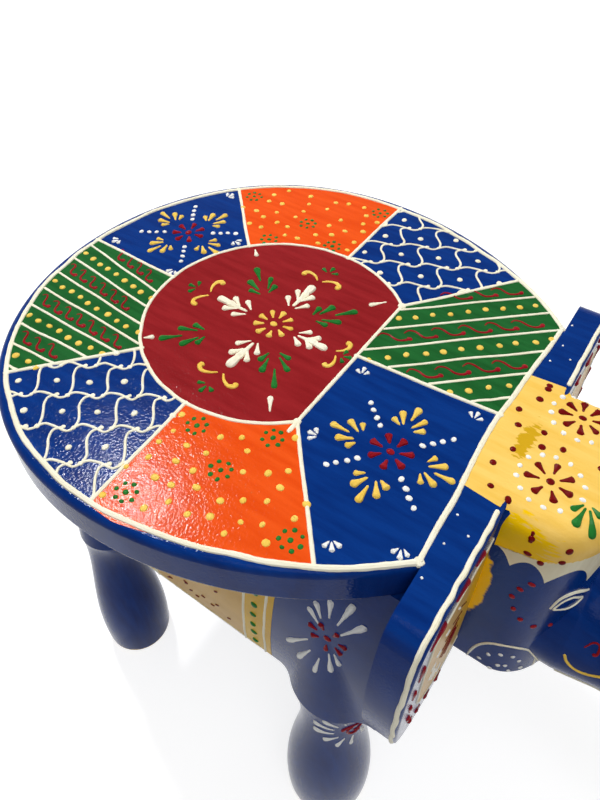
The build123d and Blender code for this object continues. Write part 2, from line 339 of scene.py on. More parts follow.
# %% [markdown]
# ## Reading the wood
# Paint has to lie on the wood, so its places are read from the wooden pieces. A ray shot at a piece
# says where its surface is and which way it faces. Shrinkwrap would do the same for a whole mesh,
# but a ray gives one clean answer for each point of a line, also round the curve of the brow.
#
# A *drawing place* is a function from two millimetre sizes to a point and a direction. Every motif
# below is drawn through such a function, so the same flower fits the seat, the cap or a shoulder.

# %% Shoot rays at the wooden pieces
ray_trees = {}
far_off = 400


def touch(node, origin, direction):
    """Where a ray first meets a wooden piece, and the surface's direction there."""
    if node not in ray_trees:
        ray_trees[node] = BVHTree.FromObject(frame["nodes"][node], bpy.context.evaluated_depsgraph_get())
    place, facing, _, _ = ray_trees[node].ray_cast(origin, Vector(direction))
    return place, facing


def on_top(*nodes):
    """Drawing place on top of pieces: ahead of the seat's centre, and to its left."""

    def at(ahead, left):
        hits = [touch(node, spot(ahead, left, -far_off), (0, 0, -1)) for node in nodes]
        return next((hit for hit in hits if hit[0]), (None, None))

    return at


def beside(node, middle, out, across):
    """Drawing place on the side of a piece: across and up from a middle point."""
    out, across = Vector(out).normalized(), Vector(across).normalized()
    rise = (Vector((0, 0, 1)) - out * out.z).normalized()

    def at(u, v):
        start = middle + (across * u + rise * v + out * far_off) * mm
        return touch(node, start, -out)

    return at


def box_of(node):
    """Lowest and highest corners of a piece, in millimetres ahead, to the left and below the seat."""
    low, high = (Vector(corner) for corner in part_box(node))
    low, high = (low - seat_centre) / mm, (high - seat_centre) / mm
    return Vector((low.x, low.y, -high.z)), Vector((high.x, high.y, -low.z))


on_seat = on_top("seat_board")
plank_low, plank_high = box_of("ear_plank")
head_low, head_high = box_of("head")
print("plank front at", round(plank_high.x, 1), "mm, brow at", round(head_high.x, 1), "mm")

# %% [markdown]
# ## Painted coats
# A coat of enamel is a skin that stands a fraction of a millimetre out of the wood. A mask in one
# big material could show the same colours, but a thin closed mesh keeps a crisp edge at any distance,
# and its tiny step catches the light as real paint does. A flat coat is an outline, filled and given
# its thickness; a wrapped coat is a grid of points read from the wood. The piping hides the seams.

# %% Lay coats of paint
coat_thickness = 0.15
shade_angle = radians(35)


def finish_piece(name, mesh):
    """Object for a finished mesh, smooth but for its sharp edges, that rides with the stool."""
    mesh.polygons.foreach_set("use_smooth", [True] * len(mesh.polygons))
    mesh.set_sharp_from_angle(angle=shade_angle)
    piece = bpy.data.objects.new(name, mesh)
    scene.collection.objects.link(piece)
    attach(piece, "root")
    return piece


def finish_coat(name, shape, material):
    """Piece from the bmesh of a closed coat."""
    bmesh.ops.recalc_face_normals(shape, faces=shape.faces)
    mesh = bpy.data.meshes.new(name)
    shape.to_mesh(mesh)
    shape.free()
    mesh.materials.append(material)
    print(name, len(mesh.polygons), "faces")
    return finish_piece(name, mesh)


def flat_coat(name, outlines, at, material):
    """Thin skins on a flat face, one for each outline of (u, v) points."""
    shape = bmesh.new()
    for outline in outlines:
        places = [at(u, v) for u, v in outline]
        facing = places[0][1]
        corners = [shape.verts.new(place - facing * coat_thickness * mm) for place, _ in places]
        raised = bmesh.ops.extrude_face_region(shape, geom=[shape.faces.new(corners)])["geom"]
        lifted = [v for v in raised if isinstance(v, bmesh.types.BMVert)]
        bmesh.ops.translate(shape, verts=lifted, vec=facing * 2 * coat_thickness * mm)
    return finish_coat(name, shape, material)


def wrapped_coat(name, rows, material):
    """Thin skin over a grid of (place, facing) rows, closed along its border."""
    shape = bmesh.new()
    layers = [
        [[shape.verts.new(place + facing * level * mm) for place, facing in row] for row in rows]
        for level in (coat_thickness, -coat_thickness)
    ]
    for layer in layers:
        for row, next_row in zip(layer, layer[1:]):
            for a, b, c, d in zip(row, row[1:], next_row[1:], next_row):
                shape.faces.new((a, b, c, d))
    over, under = (
        [*layer[0], *[row[-1] for row in layer[1:-1]], *reversed(layer[-1])]
        + [row[0] for row in reversed(layer[1:-1])]
        for layer in layers
    )
    for a, b, c, d in zip(over, over[1:] + over[:1], under[1:] + under[:1], under):
        shape.faces.new((a, b, c, d))
    bmesh.ops.remove_doubles(shape, verts=shape.verts, dist=0.02 * mm)
    return finish_coat(name, shape, material)


# %% [markdown]
# ## Piping
# The raised lines, drops and petals all come from the same cone of paste, so one Geometry Nodes tree
# makes them all. It takes curves whose points carry the half width of the bead, smooths them, shakes
# that width a little as a hand does, rounds both ends, and sweeps a circle along. The curves lie
# a little deep in the wood, so what shows is a low rounded bead. A teardrop is just a short curve
# that starts wide and ends thin.

# %% Start a tree


def link_chain(tree, *nodes):
    """Joins the geometry sockets of nodes, one after another."""
    for first, second in zip(nodes, nodes[1:]):
        output = next(s for s in first.outputs if s.type == "GEOMETRY")
        tree.links.new(output, next(s for s in second.inputs if s.type == "GEOMETRY"))


def new_tree(name, **kinds):
    """Geometry Nodes tree with a geometry input, named inputs and a geometry output."""
    tree = bpy.data.node_groups.new(name, "GeometryNodeTree")
    tree.interface.new_socket("Geometry", in_out="INPUT", socket_type="NodeSocketGeometry")
    for label, kind in kinds.items():
        tree.interface.new_socket(label, in_out="INPUT", socket_type="NodeSocket" + kind)
    tree.interface.new_socket("Geometry", in_out="OUTPUT", socket_type="NodeSocketGeometry")
    return tree, add(tree, "NodeGroupInput"), add(tree, "NodeGroupOutput")


print("tree helpers ready")

# %% Build the piping tree
blunt_end = 1.02
kinds = {"Spacing": "Float", "Shake": "Float", "Sides": "Int", "Seed": "Float", "Paste": "Material"}
piping, piping_in, piping_out = new_tree("piping", **kinds)
given = piping_in.outputs
smooth = add(piping, "GeometryNodeCurveSplineType", spline_type="CATMULL_ROM")
resample = add(piping, "GeometryNodeResampleCurve", {"Length": given["Spacing"]}, mode="LENGTH")
wobble = {"Scale": 180, "Detail": 1, "W": given["Seed"]}
noise = add(piping, "ShaderNodeTexNoise", wobble, noise_dimensions="4D").outputs["Fac"]
swing = maths(piping, "MULTIPLY", maths(piping, "SUBTRACT", noise, 0.5), 2.0)
swell = maths(piping, "ADD", maths(piping, "MULTIPLY", swing, given["Shake"]), 1.0)
half_width = maths(piping, "MULTIPLY", add(piping, "GeometryNodeInputRadius").outputs[0], swell)
along = add(piping, "GeometryNodeSplineParameter").outputs["Length"]
whole = add(piping, "GeometryNodeSplineLength").outputs["Length"]
from_end = maths(piping, "MINIMUM", along, maths(piping, "SUBTRACT", whole, along))
share = maths(piping, "MINIMUM", maths(piping, "DIVIDE", from_end, half_width), 1.0)
short = maths(piping, "SUBTRACT", 1.0, share)
squared = maths(piping, "MULTIPLY", short, short)
rounded = maths(piping, "SQRT", maths(piping, "SUBTRACT", blunt_end, squared))
circle = add(piping, "GeometryNodeCurvePrimitiveCircle", {"Radius": 1.0, "Resolution": given["Sides"]})
scale = maths(piping, "MULTIPLY", half_width, rounded)
profile = {"Fill Caps": True, "Scale": scale, "Profile Curve": circle.outputs[0]}
sweep = add(piping, "GeometryNodeCurveToMesh", profile)
real = add(piping, "GeometryNodeRealizeInstances")
colour_it = add(piping, "GeometryNodeSetMaterial", {"Material": given["Paste"]})
link_chain(piping, piping_in, smooth, resample, sweep, real, colour_it, piping_out)
print("piping tree:", len(piping.nodes), "nodes")

# %% [markdown]
# Dots are single touches of the cone. They are instanced: one small dome with few faces, set on each
# marked point, turned to face out of the wood, scaled by that point's own size and pressed a little
# out of round by a fixed seed.

# %% Build the dotting tree
dotting, dotting_in, dotting_out = new_tree("dotting", Flatness="Float", Seed="Int", Paste="Material")
given = dotting_in.outputs


def marked(name, kind):
    """Reads an attribute that the marked points carry."""
    node = add(dotting, "GeometryNodeInputNamedAttribute", {"Name": name}, data_type=kind)
    return next(socket for socket in node.outputs if socket.enabled)


dome = add(dotting, "GeometryNodeMeshUVSphere", {"Segments": 10, "Rings": 6, "Radius": 1.0})
squeeze = add(dotting, "ShaderNodeCombineXYZ", {0: 1, 1: 1, 2: given["Flatness"]})
flatten = add(dotting, "GeometryNodeTransform", {"Scale": squeeze.outputs[0]})
facing = {"Vector": marked("facing", "FLOAT_VECTOR")}
stand = add(dotting, "FunctionNodeAlignRotationToVector", facing, axis="Z")
limits = {0: (0.82, 0.82, 0.9), 1: (1.18, 1.18, 1.1), "Seed": given["Seed"]}
odd = add(dotting, "FunctionNodeRandomValue", limits, data_type="FLOAT_VECTOR")
size = {0: odd.outputs[0], "Scale": marked("half_width", "FLOAT")}
sized = add(dotting, "ShaderNodeVectorMath", size, operation="SCALE")
to_points = add(dotting, "GeometryNodeMeshToPoints")
dab = {"Instance": flatten.outputs[0], "Rotation": stand.outputs[0], "Scale": sized.outputs[0]}
place_dots = add(dotting, "GeometryNodeInstanceOnPoints", dab)
real = add(dotting, "GeometryNodeRealizeInstances")
colour_it = add(dotting, "GeometryNodeSetMaterial", {"Material": given["Paste"]})
link_chain(dotting, dome, flatten)
link_chain(dotting, dotting_in, to_points, place_dots, real, colour_it, dotting_out)
print("dotting tree:", len(dotting.nodes), "nodes")

# %% [markdown]
# The painter's marks are collected first, by paste, and pressed out together. That makes one piece
# for each area and paste, instead of a thousand small ones.

# %% Collect strokes and dots, and press them out
bead_sink = 0.18
bead_spacing = 0.7
bead_shake = 0.22
bead_sides = 8
dot_flatness = 0.5
sketches = {}


def stroke(paste, at, points, widths):
    """Bead through points of a drawing place, with its width in millimetres at each of them."""
    beads = []
    for (u, v), width in zip(points, widths):
        place, facing = at(u, v)
        if place:
            height = coat_thickness - bead_sink * width
            beads.append((place + facing * height * mm, width / 2 * mm))
    if len(beads) > 1:
        sketches.setdefault(paste, ([], []))[0].append(beads)


def dot(paste, at, u, v, width):
    """Single touch of the cone on a drawing place."""
    place, facing = at(u, v)
    if place:
        centre = place + facing * coat_thickness / 2 * mm
        sketches.setdefault(paste, ([], []))[1].append((centre, facing, width / 2 * mm))


def apply_tree(carrier, tree, values):
    """Runs a Geometry Nodes tree on an object and returns the plain mesh that it makes."""
    scene.collection.objects.link(carrier)
    modifier = carrier.modifiers.new(tree.name, "NODES")
    modifier.node_group = tree
    sockets = {s.name: s.identifier for s in tree.interface.items_tree if s.in_out == "INPUT"}
    for label, value in values.items():
        modifier[sockets[label]] = value
    evaluated = carrier.evaluated_get(bpy.context.evaluated_depsgraph_get())
    mesh = bpy.data.meshes.new_from_object(evaluated)
    carrier.modifiers.remove(modifier)
    bpy.data.objects.remove(carrier)
    return mesh


def press_lines(name, lines, seed, paste):
    """Mesh of all beads of one paste."""
    curves = bpy.data.curves.new(name, "CURVE")
    curves.dimensions = "3D"
    for beads in lines:
        spline = curves.splines.new("POLY")
        spline.points.add(len(beads) - 1)
        for point, (place, radius) in zip(spline.points, beads):
            point.co = (*place, 1)
            point.radius = radius
    values = {"Spacing": bead_spacing * mm, "Shake": bead_shake, "Sides": bead_sides}
    values |= {"Seed": float(seed), "Paste": paste}
    return apply_tree(bpy.data.objects.new(name, curves), piping, values)


def press_dots(name, touches, seed, paste):
    """Mesh of all dots of one paste."""
    points = bpy.data.meshes.new(name)
    points.from_pydata([place for place, _, _ in touches], [], [])
    points.attributes.new("facing", "FLOAT_VECTOR", "POINT")
    points.attributes.new("half_width", "FLOAT", "POINT")
    for index, (_, direction, radius) in enumerate(touches):
        points.attributes["facing"].data[index].vector = direction
        points.attributes["half_width"].data[index].value = radius
    values = {"Flatness": dot_flatness, "Seed": seed, "Paste": paste}
    return apply_tree(bpy.data.objects.new(name, points), dotting, values)


def press_out(area):
    """Makes the strokes and dots drawn so far, as pieces named for their area and paste."""
    for seed, (paste, (lines, touches)) in enumerate(sketches.items()):
        colour = paste.removesuffix(" paste").replace(" ", "_")
        for kind, marks, press in (("piping", lines, press_lines), ("dots", touches, press_dots)):
            if marks:
                name = f"{area}_{colour}_{kind}"
                mesh = press(name, marks, seed, bpy.data.materials[paste])
                finish_piece(name, mesh)
                print(name, len(marks), "marks,", len(mesh.polygons), "faces")
    sketches.clear()


print("beads are swept with", bead_sides, "sides")

# %% [markdown]
# ## Motifs
# The painter knows a handful of strokes by heart and repeats them everywhere: a teardrop, a fan of
# teardrops, a flower, a sprig, a row of dots. Each is a short function here, in millimetres. No two
# come out alike, because a seeded hand moves every point a little. `turned` moves and turns a motif
# onto the place where it belongs.

# %% Teach the motifs
unsteady = 0.3


def near(u, v, reach=unsteady):
    """A point moved a little, as by a hand."""
    return (u + hand.uniform(-reach, reach), v + hand.uniform(-reach, reach))


def polar(radius, angle):
    """Point at a distance and an angle in degrees."""
    return (radius * cos(radians(angle)), radius * sin(radians(angle)))


def between(a, b, share):
    """Point part of the way from one point to another."""
    return (a[0] + (b[0] - a[0]) * share, a[1] + (b[1] - a[1]) * share)


def turned(at, u, v, angle=0.0, size=1.0, flip=1):
    """Drawing place moved to (u, v), turned by degrees, scaled, and mirrored if flip is -1."""
    across, up = polar(size, angle)

    def moved(x, y):
        y *= flip
        return at(u + x * across - y * up, v + x * up + y * across)

    return moved


def line(paste, at, points, width):
    """Bead of even width through points."""
    stroke(paste, at, points, [width] * len(points))


def drop(paste, at, head, tail, width):
    """Teardrop from a wide head to a thin tail."""
    head, tail = near(*head), near(*tail)
    size = width * hand.uniform(0.88, 1.12)
    shape = ((0, 0.9), (0.2, 1.0), (0.42, 0.72), (0.7, 0.42), (1, 0.28))
    stroke(paste, at, [between(head, tail, s) for s, _ in shape], [size * w for _, w in shape])


def fan(paste, at, reaches, spread_angle, width):
    """Teardrops that fan out from a point, with their heads outside; the middle one points along u."""
    middle = (len(reaches) - 1) / 2
    for index, (inner, outer) in enumerate(reaches):
        angle = (index - middle) * spread_angle
        drop(paste, at, polar(outer, angle), polar(inner, angle), width)


def petals(paste, at, count, inner, outer, width, first=0.0):
    """Ring of teardrops round a point."""
    for index in range(count):
        angle = first + 360 * index / count
        drop(paste, at, polar(outer, angle), polar(inner, angle), width)


def dot_ring(paste, at, count, radius, width, first=0.0):
    """Ring of dots round a point."""
    for index in range(count):
        dot(paste, at, *near(*polar(radius, first + 360 * index / count)), width)


def dot_row(paste, at, start, end, count, width):
    """Row of dots from one point to another."""
    for index in range(count):
        dot(paste, at, *near(*between(start, end, index / (count - 1))), width)


def sprig(paste, at, length, width):
    """Three small drops from one point, opening along u."""
    fan(paste, at, ((1.2, length * 0.85), (1.2, length), (1.2, length * 0.85)), 42, width)


def through(points, steps=6):
    """Smooth line through points, with a few more points between each pair."""
    padded = [points[0], *points, points[-1]]
    smooth_line = []
    for a, b, c, d in zip(padded, padded[1:], padded[2:], padded[3:]):
        for step in range(steps):
            t = step / steps
            weights = (-t + 2 * t**2 - t**3, 2 - 5 * t**2 + 3 * t**3, t + 4 * t**2 - 3 * t**3, t**3 - t**2)
            mixed = [sum(w * p[i] for w, p in zip(weights, (a, b, c, d))) / 2 for i in (0, 1)]
            smooth_line.append(tuple(mixed))
    return [*smooth_line, points[-1]]


print("motifs ready")

# %% [markdown]
# ## The seat
# The seat is painted as patchwork: a maroon field, round but for a straight front, and eight panels
# round it in four patterns, each facing its like. Eight seams run from the field to the border. Each
# is a pair of angles, so the outlines of all coats and all dividing lines follow from one short list.

# %% Mark out the seat
border_inset = 5.0
corner_angle = 33.2
corner_inset_share = 0.35
corner_reach = 30
overrun_at = 276
overrun_reach = 11
overrun_share = 0.021
field_centre = (-4.0, -1.0)
field_radius = 68.0
field_front = 44.0
field_corner = degrees(acos((field_front - field_centre[0]) / field_radius))
seams = [(3, 3), (45, 50), (88, 91), (139, 138), (182, 181), (232, 230), (270, 270), (315, 311)]


def seat_radius(angle):
    """Distance from the seat's centre to its sawn edge."""
    out = Vector((*polar(1, angle), 0))
    place, _ = touch("seat_board", spot(0, 0, 10) + out, -out)
    return (place - spot(0, 0, 10)).length / mm


def border(angle):
    """Point of the border line, at an angle round the seat; it runs out into the two corners."""
    from_corner = abs(abs((angle + 180) % 360 - 180) - corner_angle)
    share = corner_inset_share + (1 - corner_inset_share) * min(1, from_corner / corner_reach)
    return polar(seat_radius(angle) - border_inset * share, angle)


def field(angle):
    """Point of the maroon field's edge, at an angle round its own centre; its front is straight."""
    x, y = polar(field_radius, angle)
    if field_centre[0] + x > field_front:
        return (field_front, field_centre[1] + (field_front - field_centre[0]) * tan(radians(angle)))
    return (field_centre[0] + x, field_centre[1] + y)


def sweep_round(point_at, start, end, step=1.5):
    """Points of a curve from one angle to another, both included."""
    if end < start:
        end += 360
    count = ceil((end - start) / step)
    return [point_at(start + (end - start) * index / count) for index in range(count + 1)]


def overrun(angle):
    """Border point of the near orange coat, which runs out past the line close to one seam."""
    x, y = border(angle)
    reach = 1 + overrun_share * max(0, 1 - abs(angle - overrun_at) / overrun_reach)
    return (x * reach, y * reach)


panels = []
for index, (inner, outer) in enumerate(seams):
    next_inner, next_outer = seams[(index + 1) % len(seams)]
    outside = sweep_round(overrun if index == 6 else border, outer, next_outer)
    inside_edge = sweep_round(field, inner, next_inner)
    panels.append(outside + inside_edge[::-1])
field_outline = sweep_round(field, 0, 358.5)

flat_coat("maroon_field_coat", [field_outline], on_seat, maroon)
flat_coat("orange_panel_coats", [panels[2], panels[6]], on_seat, orange)
flat_coat("green_panel_coats", [panels[0], panels[4]], on_seat, green)
print("panels:", len(panels))

# %% Pipe the border and the seams
seam_width = 2.1
border_width = 2.7
corner_dot = 4.0
seam_dots = (2.8, 3.3)
wander = 0.4
rim = [near(*border(angle), wander) for angle in range(38, 323, 5)]
front = [near(*border(angle), wander) for angle in range(-27, 28, 6)]
corners = [border(corner_angle), border(-corner_angle)]
line(CREAM, on_seat, [corners[0], *rim, corners[1], corners[1], *front, corners[0]], border_width)
bow = [near(*field(angle), wander / 2) for angle in range(50, 311, 5)]
ends = [field(field_corner), field(-field_corner)]
line(CREAM, on_seat, [ends[0], *bow, ends[1], ends[1], ends[0]], seam_width)
for end in (*corners, *ends):
    dot(CREAM, on_seat, *end, corner_dot)
for inner, outer in seams:
    ends = (field(inner), border(outer))
    middles = [near(*between(*ends, share), wander) for share in (0.3, 0.6)]
    line(CREAM, on_seat, [ends[0], *middles, ends[1]], seam_width)
    for end, width in zip(ends, seam_dots):
        dot(CREAM, on_seat, *end, width)
press_out("seat_seams")

# %% [markdown]
# Stripes and scales cover a whole panel and stop at its edge. So a pattern is drawn over more than
# the panel, and only the points that lie inside its outline are kept.

# %% Clip lines to a panel


def inside(point, outline):
    """Whether a point lies within a closed outline."""
    x, y = point
    crossings = 0
    for (ax, ay), (bx, by) in zip(outline, outline[1:] + outline[:1]):
        if (ay > y) != (by > y) and x < ax + (y - ay) * (bx - ax) / (by - ay):
            crossings += 1
    return crossings % 2 == 1


def depth(point, outline):
    """How far inside an outline a point lies; negative outside."""
    nearest = min(
        hypot(point[0] - x, point[1] - y)
        for a, b in zip(outline, outline[1:] + outline[:1])
        for x, y in (between(a, b, share / 4) for share in range(4))
    )
    return nearest if inside(point, outline) else -nearest


def runs_inside(points, outline, margin=0.0):
    """Stretches of a line that lie inside an outline."""
    runs = [[]]
    for point in points:
        if depth(point, outline) > margin:
            runs[-1].append(point)
        elif runs[-1]:
            runs.append([])
    return [run for run in runs if len(run) > 1]


def middle_of(outline):
    """Average point of an outline."""
    return tuple(sum(point[i] for point in outline) / len(outline) for i in (0, 1))


print("widest panel:", max(len(panel) for panel in panels), "points")

# %% Paint the striped panels
stripe_width = 1.6
vine_width = 1.4
stripe_dot = 3.3
vine_end = 2.9
vine = [(0, 1.8), (0.2, 3.6), (0.42, 2.2), (0.64, -2.0), (0.9, -3.1), (1.12, -2.3)]


def stripe(start, angle, length=200):
    """Points every millimetre along a line through a point."""
    return [(start[0] + x, start[1] + y) for x, y in (polar(s, angle) for s in range(-length, length))]


def stripes(outline, start, angle, gap, turn, dot_pitch, vine_pitch, count=9):
    """Cream stripes over a panel; the bands between hold crimson vines and yellow dots in turn."""
    place, side = start, angle
    for index in range(count):
        across = polar(gap, side - 90)
        band = between(place, (place[0] - across[0], place[1] - across[1]), 0.5)
        for run in runs_inside(stripe(band, side - turn / 2), outline, 2.0):
            local = turned(on_seat, *run[0], side - turn / 2)
            if index % 2:
                for step in range(int(len(run) / dot_pitch) + 1):
                    dot(YELLOW, local, *near(1 + step * dot_pitch, 0, 0.7), stripe_dot)
            else:
                for step in range(int((len(run) - 2) / vine_pitch)):
                    points = [near((step + u) * vine_pitch, v, 0.25) for u, v in vine]
                    stroke(CRIMSON, local, points, [vine_width * w for w in (0.5, 0.8, 0.9, 1, 1.1, 1.3)])
                    dot(CRIMSON, local, *points[-1], vine_end)
        for run in runs_inside(stripe(place, side), outline):
            ends = [near(*between(run[0], run[-1], share), 0.35) for share in (0.25, 0.5, 0.75)]
            line(CREAM, on_seat, [run[0], *ends, run[-1]], stripe_width)
        place = (place[0] + across[0], place[1] + across[1])
        side += turn


stripes(panels[4], (-98, -14), -9, 12.5, 2.3, 7.5, 9.0)
stripes(panels[0], (75, 72), 43, 13.4, 0, 9.3, 14.0)
press_out("seat_stripes")

# %% [markdown]
# The scales are one stroke in every cell: it runs along the foot of the cell, turns up round its
# right corner, and ends on the foot of the row above. Every second row is moved on by half a cell.

# %% Paint the panels of scales
scale_width = 1.3
scale_end = 2.3
scale_dot = 3.2
scale_stroke = [
    (0.0, 0.0), (0.2, 0.09), (0.5, 0.02), (0.8, -0.1), (0.98, 0.0), (1.05, 0.2),
    (1.0, 0.45), (0.94, 0.68), (0.98, 0.9), (1.2, 1.0),
]


def scales(outline, start, angle, length, height, count=6):
    """Wavy scales with a dot in each, over a panel; start is the middle of one of them."""
    local = turned(lambda x, y: (x, y), *start, angle)
    for row in range(-count, count):
        for column in range(-count, count):
            left, foot = (column - 0.5 + row % 2 / 2) * length, (row - 0.45) * height
            cell = [local(*near(left + u * length, foot + v * height, 0.35)) for u, v in scale_stroke]
            for run in runs_inside(through(cell), outline, 0.2):
                line(CREAM, on_seat, run[::2] + [run[-1]], scale_width)
            for corner in (cell[4], cell[-1]):
                if depth(corner, outline) > 1:
                    dot(CREAM, on_seat, *corner, scale_end)
            middle = local(*near(left + length / 2, foot + 0.45 * height, 0.8))
            if depth(middle, outline) > 2.5:
                dot(CREAM, on_seat, *middle, scale_dot)


scales(panels[5], (-46, -105), 33, 16.6, 19.0)
scales(panels[1], (22, 87), 27, 21.5, 18.5)
press_out("seat_scales")

# %% Paint the dotted orange panels
cluster_radius = 4.5
cluster_inset = 14.0
cluster_clear = 8.2
edge_clear = 5
scatter_gap = 7.6
scatter_reach = 60
scatter_tries = 60


def dotted_panel(outline, corners, count):
    """Green clusters in the corners and the middle, with yellow dots scattered between them."""
    middle = middle_of(corners)
    clusters = [middle]
    for corner in corners:
        reach = hypot(corner[0] - middle[0], corner[1] - middle[1])
        clusters.append(between(corner, middle, cluster_inset / reach))
    for cluster in clusters:
        local = turned(on_seat, *near(*cluster, 1.0), hand.uniform(0, 50))
        dot(LEAF, local, 0, 0, 2.6)
        dot_ring(LEAF, local, 7, cluster_radius, 2.2)
    taken = []
    for _ in range(count * scatter_tries):
        x, y = near(*middle, scatter_reach)
        clear = all(hypot(x - a, y - b) > cluster_clear for a, b in clusters)
        spaced = all(hypot(x - a, y - b) > scatter_gap for a, b in taken)
        if len(taken) < count and clear and spaced and depth((x, y), outline) > edge_clear:
            taken.append((x, y))
            dot(YELLOW, on_seat, x, y, hand.uniform(2.8, 3.6))


for index in (2, 6):
    (inner, outer), (next_inner, next_outer) = seams[index], seams[index + 1]
    panel_corners = [field(inner), border(outer), border(next_outer), field(next_inner)]
    dotted_panel(panels[index], panel_corners, 34)
press_out("seat_clusters")

# %% Paint the blue flower panels
fan_reaches = ((4, 9.5), (4, 12.5), (7, 16.5), (4, 12.5), (4, 9.5))


def flower_panel(centre, first, corners):
    """Crimson flower, four yellow fans, four rows of white dots, and a sprig in each corner."""
    for quarter in range(4):
        angle = first + 90 * quarter
        at = turned(on_seat, *centre, angle)
        fan(YELLOW, turned(at, 13, 0), fan_reaches, 29, 3.8)
        at = turned(on_seat, *centre, angle + 46)
        dot_row(WHITE, at, (14.5, 0), (28.5, 0), 4, 2.7)
    at = turned(on_seat, *centre, first)
    petals(CRIMSON, at, 7, 4.0, 10.2, 4.2, 20)
    dot(CRIMSON, at, 0, 0, 3.6)
    for x, y in corners:
        facing = degrees(atan2(y - centre[1], x - centre[0]))
        sprig(WHITE, turned(on_seat, *near(x, y, 0.8), facing + hand.uniform(-40, 40)), 6.0, 2.8)


flower_panel((86, -40), 2, [(53, -8), (56, -50), (108, -4), (88, -88), (112, -77)])
flower_panel((-94, 34), -13, [(-77, 3), (-66, 43), (-101, 78), (-123, 6)])
press_out("seat_flowers")

# %% [markdown]
# The maroon field has the richest drawing. Everything stands on four arms and the four diagonals
# between them, so it is drawn once and turned three times.

# %% Paint the maroon field
flower_middle = (-3, -3)
arm_sizes = (0.88, 1, 1, 1)
diagonals = [(47, 19, 51.5, 62), (138, 23, 59, 66.5), (226, 33, 60, 66), (307, 19, 49.5, 59)]
swirl_line = [(-1.0, 4.2), (1.6, 5.2), (3.3, 2.6), (2.3, -1.4), (-0.5, -4.8)]
swirl_widths = (4.0, 3.2, 2.3, 1.6, 1.0)


def lobed_leaf(at):
    """Cream leaf along u with a pair of lobes, and two loose drops at its foot."""
    drop(CREAM, at, (37.5, 0), (17, 0), 5.2)
    drop(CREAM, at, (31, 0), (17, 0), 5.0)
    for side in (-1, 1):
        drop(CREAM, at, (30, side * 5.6), (22.5, side * 0.8), 4.4)
        drop(CREAM, at, (23, side * 7.2), (16, side * 1.8), 3.7)


field_at = turned(on_seat, *flower_middle)
petals(YELLOW, field_at, 9, 4.6, 10.8, 4.0, 12)
dot(YELLOW, field_at, 0, 0, 4.0)
for quarter, size in enumerate(arm_sizes):
    arm = turned(on_seat, *flower_middle, 90 * quarter, size)
    lobed_leaf(arm)
    for side in (-1, 1):
        curl = turned(arm, 43, side * 6.0, hand.uniform(-12, 12), 1.0, side)
        stroke(YELLOW, curl, [near(*point, 0.2) for point in swirl_line], swirl_widths)
    sprig_at = turned(arm, 51 if quarter else 46, 0, hand.uniform(-15, 15))
    fan(LEAF, sprig_at, ((1.5, 6), (1.5, 6.8), (1.5, 6)), 62, 3.4)
for angle, fan_foot, pin_head, pin_tail in diagonals:
    diagonal = turned(on_seat, *flower_middle, angle)
    reaches = ((3, 11), (6, 17), (13, 26), (6, 17), (3, 11))
    fan(LEAF, turned(diagonal, fan_foot, 0), reaches, 23, 4.2)
    tail_angle = 4 if angle < 90 else -2
    drop(CREAM, diagonal, polar(pin_head, tail_angle), polar(pin_tail, tail_angle), 3.4)
press_out("seat_field")

# %% [markdown]
# ## The cap
# The top of the head wears a painted cap. It starts at the seat's front line, covers the middle of
# the ear plank and the flat of the head, and rounds down over the brow and both cheeks to a scalloped
# cream fringe. The head's outline is read with level rays, and every rib of the coat runs from the
# seat across the top and down to the fringe. Past the plank its rays all aim at one point inside the
# head, so they meet the rounded rim squarely.

# %% Read the head's outline
cap_ribs = 160
cap_rows = 16
head_core = spot(head_low.x + 20, 0, 35)


def round_head(side, nodes=("head", "trunk")):
    """Drawing place round the face: degrees from the front towards one side, and the drop."""

    def at(angle, drop_down):
        core = spot(head_low.x, 0, drop_down)
        out = Vector((cos(radians(angle)), side * sin(radians(angle)), 0))
        hits = [touch(node, core + out * far_off * mm, -out) for node in nodes]
        return max((hit for hit in hits if hit[0]), key=lambda hit: (hit[0] - core).length)

    return at


outline_drop = 50
head_outline = []
for angle in range(-178, 179):
    place, _ = round_head(1, ("head",))(angle / 2, outline_drop)
    head_outline.append(((place.x - seat_x) / mm, place.y / mm))
lengths = [0.0]
for a, b in zip(head_outline, head_outline[1:]):
    lengths.append(lengths[-1] + hypot(b[0] - a[0], b[1] - a[1]))
half_length = lengths[-1] / 2
print("head outline:", round(lengths[-1], 1), "mm")


def on_outline(distance):
    """Point of the head's outline, at a distance from the middle of the brow."""
    goal = min(max(distance + half_length, 0), lengths[-1])
    index = next(i for i, length in enumerate(lengths[1:]) if length >= goal - 1e-6)
    return between(head_outline[index], head_outline[index + 1],
                   (goal - lengths[index]) / (lengths[index + 1] - lengths[index]))


def head_touch(ahead, left, drop_down):
    """Point of the head's skin towards its core from a point of its square outline."""
    start = spot(ahead, left, drop_down) - head_core
    return touch("head", head_core + start * 2, -start)


# %% Shape the edges of the cap and its fringe
fringe_tips = [(0, 42), (25, 39), (46, 33), (61, 32), (76, 31)]
valley_drop = 22.5
brow_drop = 8
cheek_fall = 15


def cap_edge(distance):
    """Drop of the edge between the cap and its fringe."""
    return brow_drop + cheek_fall * (abs(distance) / half_length) ** 1.3


def fringe_edge(distance):
    """Drop of the scalloped lower edge: sharp tips with round valleys between."""
    distance = abs(distance)
    for (a, drop_a), (b, drop_b) in zip(fringe_tips, fringe_tips[1:]):
        if distance <= b:
            share = (distance - a) / (b - a)
            tip = drop_a + (drop_b - drop_a) * share
            return tip - (tip - valley_drop) * sin(pi * share) ** 0.8


print("fringe tips at", [drop_down for _, drop_down in fringe_tips], "mm")

